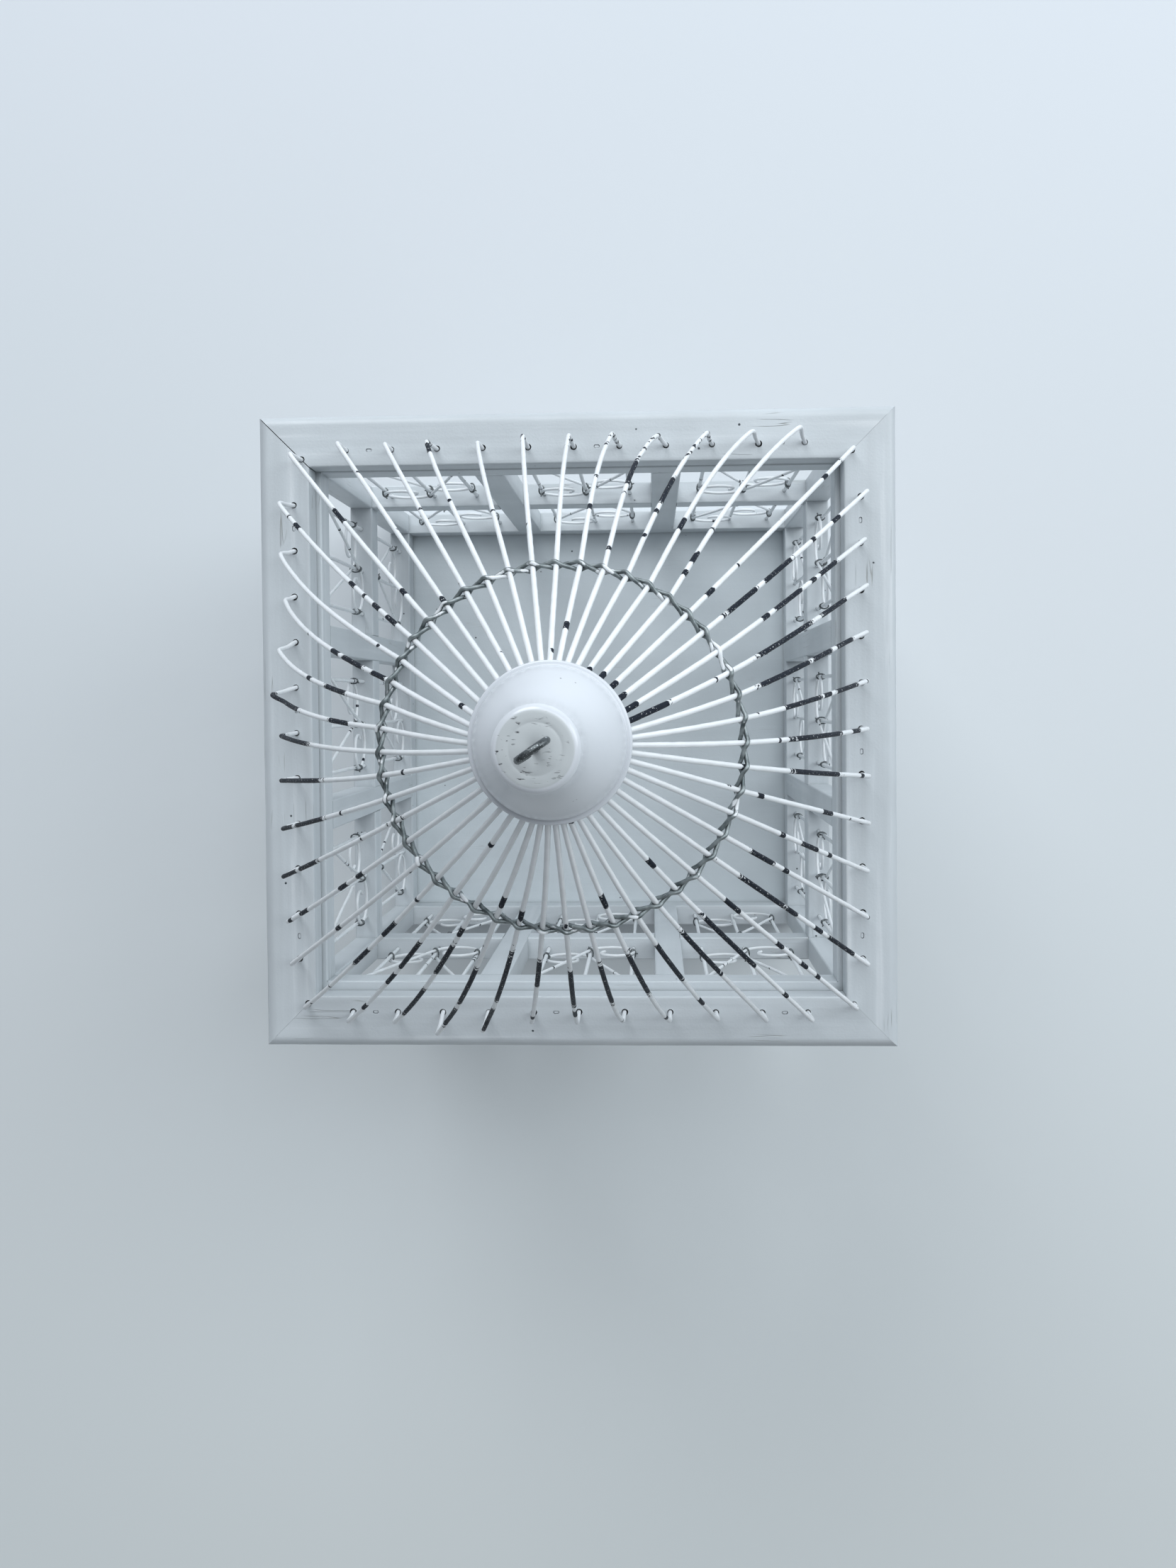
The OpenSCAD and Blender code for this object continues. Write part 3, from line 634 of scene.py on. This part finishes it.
def rim_profile():
    """Points round a board's section: (distance inwards from the outer face, height)."""
    width, t = RIM_OUT - RIM_IN, RIM_TOP - RIM_LOW
    small = 0.8 * MM
    pts = [(width - small * (1 - sin(a)), t - small * (1 - cos(a))) for a in
           [radians(90 - 30 * i) for i in range(4)]]
    flat = width - small - RIM_ROUND
    pts += [(width - small - flat * i / 14, t) for i in range(1, 14)]
    pts += [(RIM_ROUND * (1 - sin(a)), t - RIM_ROUND * (1 - cos(a))) for a in
            [radians(9 * i) for i in range(11)]]
    pts += [(0, (t - RIM_ROUND) * (1 - i / 4)) for i in range(1, 4)]
    pts += [(0.4 * MM, 0), (width / 2, 0), (width - 0.4 * MM, 0)]
    pts += [(width, 0.4 * MM + (t - small - 0.4 * MM) * i / 5) for i in range(5)]
    return pts


def hole_at(n):
    """Middle of wire hole n, counted round from the front left corner."""
    k, m = divmod(n % WIRES, SIDE_GAPS)
    if m == 0:
        return Vector((CORNER_HOLE * (-1 if k in (0, 3) else 1), CORNER_HOLE * (-1 if k < 2 else 1), 0))
    return quarter_turns(k) @ Vector((CORNER_HOLE * (2 * m / SIDE_GAPS - 1), -HOLE_LINE, 0))


def cutter(k):
    """The wire holes and nail pockets of rim board k, as one mesh of bars."""
    m = Mesh()
    rng = random.Random(50 + k)
    for n in range(k * SIDE_GAPS, (k + 1) * SIDE_GAPS + 1):
        p = hole_at(n) + Vector((rng.uniform(-0.2, 0.2), rng.uniform(-0.2, 0.2), 0)) * MM
        r = rng.uniform(1.3, 1.65) * MM
        m.tube([p + UP * (RIM_TOP - HOLE_DEPTH), p + UP * (RIM_TOP + CUT_ABOVE)], r, 16)
    turn = quarter_turns(k)
    for gap in (1, SIDE_GAPS // 2 - 1, SIDE_GAPS - 2):
        x = CORNER_HOLE * (2 * (gap + 0.5) / SIDE_GAPS - 1)
        first = len(m.verts)
        for z in (RIM_TOP - POCKET_DEPTH, RIM_TOP + CUT_ABOVE):
            for j in range(16):
                a = 2 * pi * (j + 0.5) / 16
                side = POCKET_HALF if cos(a) > 0 else -POCKET_HALF
                spot = (x + side + POCKET_R * cos(a), -HOLE_LINE + POCKET_R * sin(a), z)
                m.verts.append(turn @ Vector(spot))
        m.ring_faces(first, first + 16, 16)
        m.faces.append(tuple(range(first, first + 16))[::-1])
        m.faces.append(tuple(range(first + 16, first + 32)))
    mesh = bpy.data.meshes.new("cutter")
    mesh.from_pydata(m.verts, [], m.faces)
    obj = bpy.data.objects.new("cutter", mesh)
    bpy.context.scene.collection.objects.link(obj)
    return obj


def make_rim_board(k):
    m = Mesh()
    profile = rim_profile()
    count = len(profile)
    steps = 150
    gap = [MITRE[CORNERS[k]] * MM, MITRE[CORNERS[(k + 1) % 4]] * MM]
    turn = quarter_turns(k)
    for i in range(steps + 1):
        t = i / steps
        for inward, height in profile:
            half = RIM_OUT - inward
            x = -(half - gap[0] / 2) + t * (2 * half - gap[0] / 2 - gap[1] / 2)
            p = turn @ Vector((x, -half, RIM_LOW + height))
            wave = noise.noise(p / (38 * MM)) * 0.16 + noise.noise(p / (9 * MM)) * 0.05
            dip = 0.10 * smooth((4 * MM - inward) / (4 * MM)) * (1 + noise.noise(p / (14 * MM)))
            p -= UP * MM * (abs(wave) + dip if height > WAVY_ABOVE else 0)
            if inward < RIM_ROUND:
                p -= (turn @ Vector((0, -1, 0))) * MM * abs(noise.noise(p / (25 * MM))) * 0.2
            m.verts.append(p)
    for i in range(steps):
        m.ring_faces(i * count, (i + 1) * count, count)
    m.faces.append(tuple(range(count))[::-1])
    m.faces.append(tuple(range(steps * count, (steps + 1) * count)))
    m.faces = [f[::-1] for f in m.faces]
    side = SIDES[k]
    board = m.piece(f"rim_{side}", RIM_WOOD["x" if k % 2 == 0 else "y"], "roof",
                    [f"rim_board_{side}"], smooth_faces=False)
    tool = cutter(k)
    holes = board.modifiers.new("holes", "BOOLEAN")
    holes.object, holes.operation, holes.solver = tool, "DIFFERENCE", "EXACT"
    graph = bpy.context.evaluated_depsgraph_get()
    cut = bpy.data.meshes.new_from_object(board.evaluated_get(graph))
    board.modifiers.clear()
    board.data = cut
    cut.name = board.name
    bpy.data.objects.remove(tool)
    cut.shade_smooth()
    cut.set_sharp_from_angle(angle=radians(40))
    return board


# ---- Dome wires ----

DOME_H = CAP_Z - RIM_TOP
# In mm: how far a wire runs on inside the finial, and its length up to where its slope begins.
EMBED, FOOT = 4, 16


# Wires whose feet stand up straight before they bend, with the height in mm, and those that
# hook outwards there.
TALL_FEET = {1: 11, 2: 12, 3: 20, 4: 17, 5: 14, 6: 16, 7: 13, 8: 12, 20: 14, 27: 16, 28: 11, 29: 20,
             30: 20, 31: 20, 32: 10, 33: 16, 36: 12, 37: 14, 39: 9, 40: 18, 41: 23, 42: 22, 43: 21, 44: 21,
             45: 20, 46: 15}
HOOKED = (3, 4, 41)
# How far a wire bulges sideways between its foot and the hoop, in mm: to the right as it climbs.
SIDE_LEAN = {1: 2, 2: 2.6, 3: 4, 4: 2, 5: 1, 10: 1, 19: 1, 20: 2, 21: 1, 25: 7, 26: 6, 27: 4, 28: 6, 29: 3.3,
             30: 1, 33: 2, 34: 1, 36: 1.5, 37: 2.7, 38: 5.4, 39: 5.5, 40: 7, 41: 4.5, 42: 0.5}


def wire_end(n):
    a = wire_angle(n)
    return Vector((CAP_AT.x, CAP_AT.y, 0)) + WIRE_END_R * Vector((cos(a), sin(a), 0))


class Profile:
    """One dome wire in its upright plane: a straight foot, a bend and a shallow arc."""

    def __init__(self, length, reach, rise, bend):
        self.length, self.rise, self.bend = length, rise, bend
        low, high = radians(-9), radians(24)
        for _ in range(30):
            self.bow = (low + high) / 2
            self.solve()
            if self.at_height(HOOP_Z - RIM_TOP) > reach:
                low = self.bow
            else:
                high = self.bow

    def solve(self):
        a = radians(25)
        bow = self.bow if abs(self.bow) > 1e-4 else 1e-4
        for _ in range(20):
            a = atan2(self.length - self.bend * (1 - cos(a)), DOME_H - self.rise - self.bend * sin(a)) - bow
        self.lean = a
        self.knee = (self.bend * (1 - cos(a)), self.rise + self.bend * sin(a))
        self.run = sqrt((self.length - self.knee[0]) ** 2 + (DOME_H - self.knee[1]) ** 2) / (2 * sin(bow))

    def at_height(self, z):
        t = asin(sin(self.lean) + (z - self.knee[1]) / self.run)
        return self.knee[0] + self.run * (cos(self.lean) - cos(t))

    def points(self, beyond):
        pts = [(0, -6 * MM), (0, 0), (0, self.rise * 0.5), (0, self.rise)]
        for i in range(1, 9):
            a = self.lean * i / 8
            pts.append((self.bend * (1 - cos(a)), self.rise + self.bend * sin(a)))
        turn = 2 * self.bow + beyond / self.run
        for i in range(1, 61):
            a = self.lean + turn * i / 60
            pts.append((self.knee[0] + self.run * (cos(self.lean) - cos(a)),
                        self.knee[1] + self.run * (sin(a) - sin(self.lean))))
        return pts


def dome_path(n, rng):
    """Wire n as it was bent by hand: it leans and sways a little off the CAD's plane."""
    start, end = hole_at(n), wire_end(n)
    plan = end - start
    length = plan.length
    u = plan / length
    w = Vector((-u.y, u.x, 0))
    to_hoop = start - Vector((HOOP_AT.x, HOOP_AT.y, 0))
    b = to_hoop.dot(u)
    reach = -b - sqrt(b * b - to_hoop.length_squared + HOOP_R ** 2)
    from_corner = min(n % SIDE_GAPS, SIDE_GAPS - n % SIDE_GAPS)
    rise = TALL_FEET.get(n, rng.uniform(9, 14) if from_corner else 4) * MM
    bend = (rng.uniform(11, 18) if from_corner else 14) * MM
    shape = Profile(length, reach, rise, bend)
    # Where the hoop spaces the wires evenly, as a sideways shift from the straight plane.
    a = wire_angle(n, HOOP_TWIST)
    spaced = Vector((HOOP_AT.x, HOOP_AT.y, 0)) + HOOP_R * Vector((cos(a), sin(a), 0))
    shift = (spaced - start - u * reach).dot(w)
    lean = -(SIDE_LEAN.get(n, 0) + rng.uniform(-0.8, 0.8)) * MM
    hook = 3.4 * MM if n in HOOKED else rng.uniform(0, 0.8) * MM
    path = []
    for x, z in shape.points(EMBED * MM):
        s = x / length
        h = smooth(z / (26 * MM))
        off = shift * sin(pi * min(1, s / 2 / (reach / length))) * h
        off += lean * sin(pi * min(1, max(0, z) / (HOOP_Z - RIM_TOP)) ** 0.7)
        out = hook * sin(pi * min(1, max(0, z) / (40 * MM)))
        p = start + u * (x - out) + w * off
        path.append(Vector((p.x, p.y, RIM_TOP + z)))
    return even(catmull(path, 3), 1.2 * MM)


# Places where the paint has flaked off, as (from, to) for each wire seen from above: 0 is the
# foot of the wire, 1 the hoop and 2 the finial.
BARE = {
    0: ((0.35, 0.47), (0.58, 0.68)), 1: ((0.13, 0.16), (0.35, 0.43), (0.48, 0.67)),
    2: ((0.12, 0.38), (0.52, 0.75), (0.82, 0.87)), 3: ((0.12, 0.30), (0.35, 0.66), (1.15, 1.25)),
    4: ((0.06, 0.30), (0.38, 0.82), (1.08, 1.16)), 5: ((0.13, 0.17), (0.55, 0.78)),
    6: ((0.20, 0.28), (0.35, 0.70)), 7: ((0.35, 0.75),), 8: ((0.08, 0.11), (0.42, 0.78), (1.18, 1.30)),
    9: ((0.22, 0.28), (0.48, 0.77)), 10: ((0.46, 0.80),), 11: ((0.20, 0.23), (0.45, 0.82), (1.30, 1.38)),
    12: ((0.21, 0.23), (0.29, 0.33), (0.45, 0.49), (0.73, 0.82)),
    13: ((0.10, 0.26), (0.30, 0.35), (0.47, 0.53), (0.55, 0.82)), 14: ((0.60, 0.63), (0.70, 0.84)),
    15: ((0.33, 0.36), (0.44, 0.56), (0.68, 0.71)), 16: ((0.38, 0.45), (0.87, 0.90)),
    17: ((0.09, 0.12), (0.33, 0.70)), 18: ((0.12, 0.21), (0.32, 0.72)),
    19: ((0.13, 0.34), (0.39, 0.45), (0.48, 0.74)), 20: ((0.15, 0.29), (0.35, 0.50), (0.52, 0.88)),
    21: ((0.19, 0.38), (0.46, 0.83)), 22: ((0.21, 0.32), (0.36, 0.39), (0.46, 0.64), (0.69, 0.73)),
    23: ((0.17, 0.21), (0.32, 0.34), (0.47, 0.64), (0.69, 0.86)), 24: ((0.13, 0.15), (0.85, 0.89)),
    25: ((0.77, 0.81), (0.86, 0.88)), 26: ((0.62, 0.68),), 27: ((0.38, 0.55), (0.60, 0.62)),
    28: ((0.26, 0.44),), 29: ((0.62, 0.65), (1.60, 1.66)), 33: ((0.05, 0.10),), 35: ((0.96, 1.0),),
    36: ((0.30, 0.37), (0.80, 0.83)), 37: ((0.14, 0.17), (0.55, 0.58), (0.72, 0.76), (0.82, 0.88)),
    39: ((0.54, 0.60), (0.64, 0.80), (0.87, 0.96)), 40: ((0.39, 0.42), (0.55, 0.72)),
    41: ((0.04, 0.32), (0.62, 0.77)), 42: ((0.03, 0.40),), 43: ((0.04, 0.52),),
    44: ((0.03, 0.18), (0.22, 0.50)), 45: ((0.03, 0.18), (0.21, 0.38)),
    46: ((0.05, 0.07), (0.14, 0.20), (0.48, 0.54), (0.62, 0.67)), 47: ((0.36, 0.39),),
}
# Lengths bared next to the finial, in mm, and rust-specked feet.
BARE_AT_CAP = {22: 9, 23: 7, 24: 8, 25: 7, 26: 5, 21: 24, 8: 4, 9: 3}
SPECKED = {29: 40, 30: 40, 31: 28, 33: 14, 27: 55, 28: 60}


def dome_chips(n, length, to_hoop, rng):
    def along(f):
        """Path length for a place seen from above, where the far parts look shorter."""
        if f < 1:
            return FOOT + (to_hoop - FOOT) * f ** 0.78
        return to_hoop + (length - EMBED - to_hoop) * (f - 1)

    chips = []
    for a, b in BARE.get(n, ()):
        a, b = along(a), along(b)
        chips.append(((a + b) / 2, (b - a) / 2 + 0.4, 0, 60.0))
    if n in BARE_AT_CAP:
        size = BARE_AT_CAP[n]
        chips.append((length - EMBED - size / 2, size / 2, 0, 60.0))
    for _ in range(SPECKED.get(n, 0) // 2):
        chips.append((rng.uniform(12, 12 + SPECKED[n]), rng.uniform(0.5, 1.3), rng.uniform(0, 2 * pi), 0.8))
    chips.append((length - 4.2, rng.uniform(0.6, 1.2), rng.uniform(0, 2 * pi), 3.0))
    return chips + random_chips(rng, length - 8, rng.randint(1, 3), 1.3, wrap=0.3)


def make_dome_wires(k):
    m = Mesh()
    for n in range(k * SIDE_GAPS, (k + 1) * SIDE_GAPS):
        rng = random.Random(900 + n)
        path = dome_path(n, rng)
        length = sum((b - a).length for a, b in zip(path, path[1:])) / MM
        to_hoop = sum((b - a).length for a, b in zip(path, path[1:]) if b.z < HOOP_Z) / MM
        m.tube(path, WIRE_R, 12, rng.uniform(0, 80), dome_chips(n, length, to_hoop, rng), lumps=0.07)
    m.piece(f"dome_{SIDES[k]}", WIRE_PAINT, "roof", [f"dome_wires_{SIDES[k]}"])


def make_hoop():
    """Two strands twined round the dome wires: they swap sides between neighbours."""
    per_gap = 14
    for strand, cad in ((0, "hoop_outer_strand"), (1, "hoop_inner_strand")):
        path = []
        for i in range(WIRES * per_gap):
            t = i / per_gap
            a = wire_angle(t, HOOP_TWIST)
            turn = pi * t + pi * strand
            off = STRAND_R * 0.98 + WIRE_R * 0.86 * cos(pi * t) ** 4
            out = Vector((cos(a) * cos(HOOP_LEAN), sin(a) * cos(HOOP_LEAN), sin(HOOP_LEAN)))
            down = Vector((cos(a) * sin(HOOP_LEAN), sin(a) * sin(HOOP_LEAN), -cos(HOOP_LEAN)))
            ring = Vector((HOOP_AT.x + HOOP_R * cos(a), HOOP_AT.y + HOOP_R * sin(a), HOOP_Z))
            ring += wobble(ring + Vector((0, 0, strand)), 12 * MM, 0.35 * MM)
            path.append(ring + out * off * cos(turn) + down * off * sin(turn))
        m = Mesh()
        m.tube(path, STRAND_R, 10, strand * 20.0, closed=True, lumps=0.12)
        m.piece(f"hoop_strand_{strand + 1}", ZINC, "roof", [cad])


# ---- Finial and screw eye ----

def finial_profile():
    """Half outline of the finial from the middle of its underside to the middle of its top."""
    edge_h, step, soft = 3.4 * MM, 1.6 * MM, 0.8 * MM
    height = CAP_TOP - CAP_Z
    knob_h = 0.11 * height
    knob_r, skirt_r = 10 * MM, 12.8 * MM
    waist = skirt_r - 0.7 * MM
    low, high = edge_h, height - knob_h
    pts = [(0.0, 0.0), (CAP_R * 0.5, 0.0)]
    pts += [(CAP_R - soft * (1 - sin(radians(a))), soft * (1 - cos(radians(a)))) for a in range(0, 91, 18)]
    pts += [(CAP_R - soft * (1 - cos(radians(a))), edge_h - soft * (1 - sin(radians(a))))
            for a in range(0, 91, 18)]
    pts.append((CAP_R - step + 0.15 * MM, edge_h - 0.1 * MM))
    for i in range(41):
        s = (1 - cos(pi * (i / 40) ** 0.82)) / 2
        pts.append(((CAP_R - step) * (1 - s) + waist * s, low + (high - low) * i / 40))
    r = skirt_r - knob_r
    pts.append((skirt_r - 0.2 * MM, high + 0.05 * MM))
    pts += [(knob_r + r * cos(radians(a)), height - r + r * sin(radians(a)) * 0.98) for a in range(0, 91, 9)]
    groove = 7.5 * MM
    pts += [(9 * MM, height), (groove + 0.25 * MM, height - 0.02 * MM), (groove, height - 0.10 * MM),
            (groove - 0.25 * MM, height - 0.02 * MM), (5 * MM, height - 0.05 * MM)]
    pts += [(1.6 * MM, height - 0.05 * MM), (0.9 * MM, height - 0.5 * MM), (0.0, height - 0.5 * MM)]
    return pts


def make_finial():
    m = Mesh()
    sides = 144
    profile = finial_profile()
    for r, z in profile[1:-1]:
        for j in range(sides):
            a = 2 * pi * j / sides
            p = Vector((cos(a), sin(a), 0))
            wob = 1 + 0.004 * noise.noise(p * 1.3 + UP * z * 30)
            m.verts.append(Vector((CAP_AT.x, CAP_AT.y, CAP_Z + z)) + p * min(r * wob, CAP_R))
    rings = len(profile) - 2
    for i in range(rings - 1):
        m.ring_faces(i * sides, (i + 1) * sides, sides)
    m.faces.append(tuple(range(sides))[::-1])
    m.faces.append(tuple(range((rings - 1) * sides, rings * sides)))
    obj = m.piece("turned_finial", FINIAL, "roof", ["finial"])
    obj.data.set_sharp_from_angle(angle=radians(50))


EYE_WIRE_R, EYE_OUT_R, EYE_NECK = 1.1 * MM, 5.9 * MM, 2.6 * MM
# In degrees: where the ring starts, how far it turns, and the way it faces.
EYE_START, EYE_TURN, EYE_FACING = -68, 318, 33


def make_screw_eye():
    wire_r = EYE_WIRE_R
    ring_r = EYE_OUT_R - wire_r
    neck = EYE_NECK
    centre = CAP_TOP + neck + ring_r + wire_r
    turn = Matrix.Rotation(radians(EYE_FACING), 3, "Z")
    pts = [Vector((0, 0, CAP_TOP - 3 * MM)), Vector((0, 0, CAP_TOP)), Vector((0, 0, CAP_TOP + neck * 0.5))]
    for i in range(33):
        a = radians(EYE_START + EYE_TURN * i / 32)
        pts.append(Vector((ring_r * cos(a), 0.25 * MM * (1 - i / 16), centre + ring_r * sin(a))))
    path = [turn @ p + Vector((CAP_AT.x, CAP_AT.y, 0)) for p in pts]
    m = Mesh()
    m.tube(even(catmull(path, 4), 0.35 * MM), lambda t: wire_r * (1 if t < 0.97 else 0.94), 14, 3.0,
           lumps=0.05)
    m.piece("screw_eye_wire", EYE_STEEL, "roof", ["screw_eye"])


rng = random.Random(11)
for k in range(4):
    make_rods(k, rng)
    make_scrolls(k, rng)
    make_rim_board(k)
    make_dome_wires(k)
make_ties(rng)
make_hoop()
make_finial()
make_screw_eye()

finish_node("rim_nails", WOOD["z"])
for part in ("cage_leaf_left", "cage_leaf_right", "roof_leaf_left", "roof_leaf_right", "cage_screws",
             "roof_screws"):
    finish_node("hinge_" + part, BRASS)
finish_node("hinge_pins", EYE_STEEL)


# ---- Floor and light ----

def make_stage():
    mesh = bpy.data.meshes.new("stage_floor")
    size = 6.0
    corners = [(-size, -size, 0), (size, -size, 0), (size, size, 0), (-size, size, 0)]
    mesh.from_pydata(corners, [], [(0, 1, 2, 3)])
    s = Shader("pale_floor")
    cloud = s.noise(s.where(), scale=1.6, detail=2)
    # Painted light: the floor is painted lighter towards the back, where the window light falls, and darker
    # towards the front.
    depth = s.add("SeparateXYZ", "Y", inputs={"Vector": s.where()})
    tone = s.mix(s.ramp(depth, -0.7, 0.7), (0.66, 0.69, 0.68), (0.72, 0.75, 0.80))
    s.principled(base_color=s.mix(s.ramp(cloud, 0.3, 0.7, 0, 0.3), tone, (0.66, 0.72, 0.74)), roughness=0.85)
    floor = bpy.data.objects.new("stage_floor", mesh)
    mesh.materials.append(s.material)
    bpy.context.scene.collection.objects.link(floor)


def area_light(name, at, target, size, power, colour):
    data = bpy.data.lights.new(name, "AREA")
    data.shape, data.size, data.energy, data.color = "DISK", size, power, colour
    lamp = bpy.data.objects.new(name, data)
    lamp.location = at
    lamp.rotation_euler = (Vector(target) - Vector(at)).to_track_quat("-Z", "Y").to_euler()
    bpy.context.scene.collection.objects.link(lamp)


def make_light():
    world = bpy.data.worlds.new("sky")
    world.use_nodes = True
    world.node_tree.nodes["Background"].inputs["Color"].default_value = (0.84, 0.91, 1.0, 1)
    world.node_tree.nodes["Background"].inputs["Strength"].default_value = 0.27
    bpy.context.scene.world = world
    area_light("window", (-0.9, 2.9, 2.1), (0, 0, 0.2), 2.2, 64, (0.92, 0.96, 1.0))
    area_light("skylight", (1.0, 1.4, 3.0), (0, 0, 0.2), 2.8, 54, (0.90, 0.96, 1.0))
    area_light("side_fill", (2.6, 1.0, 1.3), (0, 0, 0.3), 1.8, 30, (0.90, 0.96, 1.0))
    area_light("room", (0.8, -2.2, 1.4), (0, 0, 0.3), 2.0, 2, (1.0, 0.93, 0.85))
    bpy.context.scene.view_settings.view_transform = "Standard"


make_stage()
make_light()
